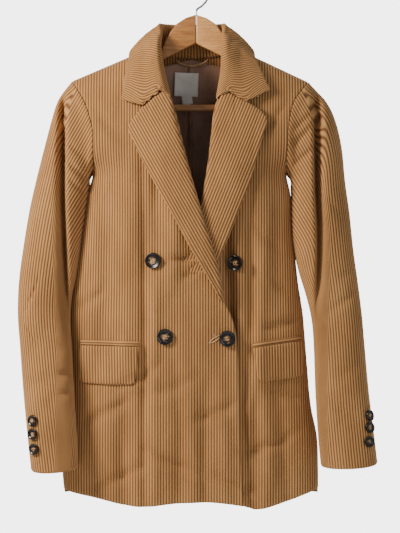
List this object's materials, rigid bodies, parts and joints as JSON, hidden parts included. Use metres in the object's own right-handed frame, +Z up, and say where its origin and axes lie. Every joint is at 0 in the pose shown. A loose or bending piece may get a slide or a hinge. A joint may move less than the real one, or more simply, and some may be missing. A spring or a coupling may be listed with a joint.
{
  "type": "double breasted blazer on a wooden hanger",
  "caption": "Wide-wale corduroy double breasted blazer with notched lapels and flap pockets, hanging on a flat wooden hanger with a wire hook.",
  "frame": {"origin": "the point inside the top of the hanger's hook that rests on the rail", "axes": "+Z up, the front of the blazer faces -Y, the wearer's right side lies towards -X"},
  "size_m": [0.5843, 0.137, 0.8594],
  "materials": {
    "corduroy": "wide-wale cotton corduroy, camel",
    "satin": "brown lining satin",
    "tape": "woven tape",
    "label": "plain woven label",
    "horn": "marbled dark brown horn effect",
    "beech": "varnished beech",
    "chrome": "bright plated wire"
  },
  "bodies": {
    "root": {"back_left": "corduroy", "back_right": "corduroy", "button_lower_left": "horn", "button_lower_right": "horn", "button_upper_left": "horn", "button_upper_right": "horn", "collar": "corduroy", "collar_stand": "corduroy", "cuff_button_left_1": "horn", "cuff_button_left_2": "horn", "cuff_button_left_3": "horn", "cuff_button_right_1": "horn", "cuff_button_right_2": "horn", "cuff_button_right_3": "horn", "flap_left": "corduroy", "flap_right": "corduroy", "front_left": "corduroy", "front_right": "corduroy", "hanger_arm_left": "beech", "hanger_arm_right": "beech", "hanger_bar": "beech", "hanger_hook": "chrome", "hanging_loop": "tape", "lapel_left": "corduroy", "lapel_right": "corduroy", "lining_back": "satin", "neck_label": "label", "size_tab": "label", "top_sleeve_left": "corduroy", "top_sleeve_right": "corduroy", "under_sleeve_left": "corduroy", "under_sleeve_right": "corduroy", "welt_left": "corduroy", "welt_right": "corduroy"}
  },
  "joints": []
}
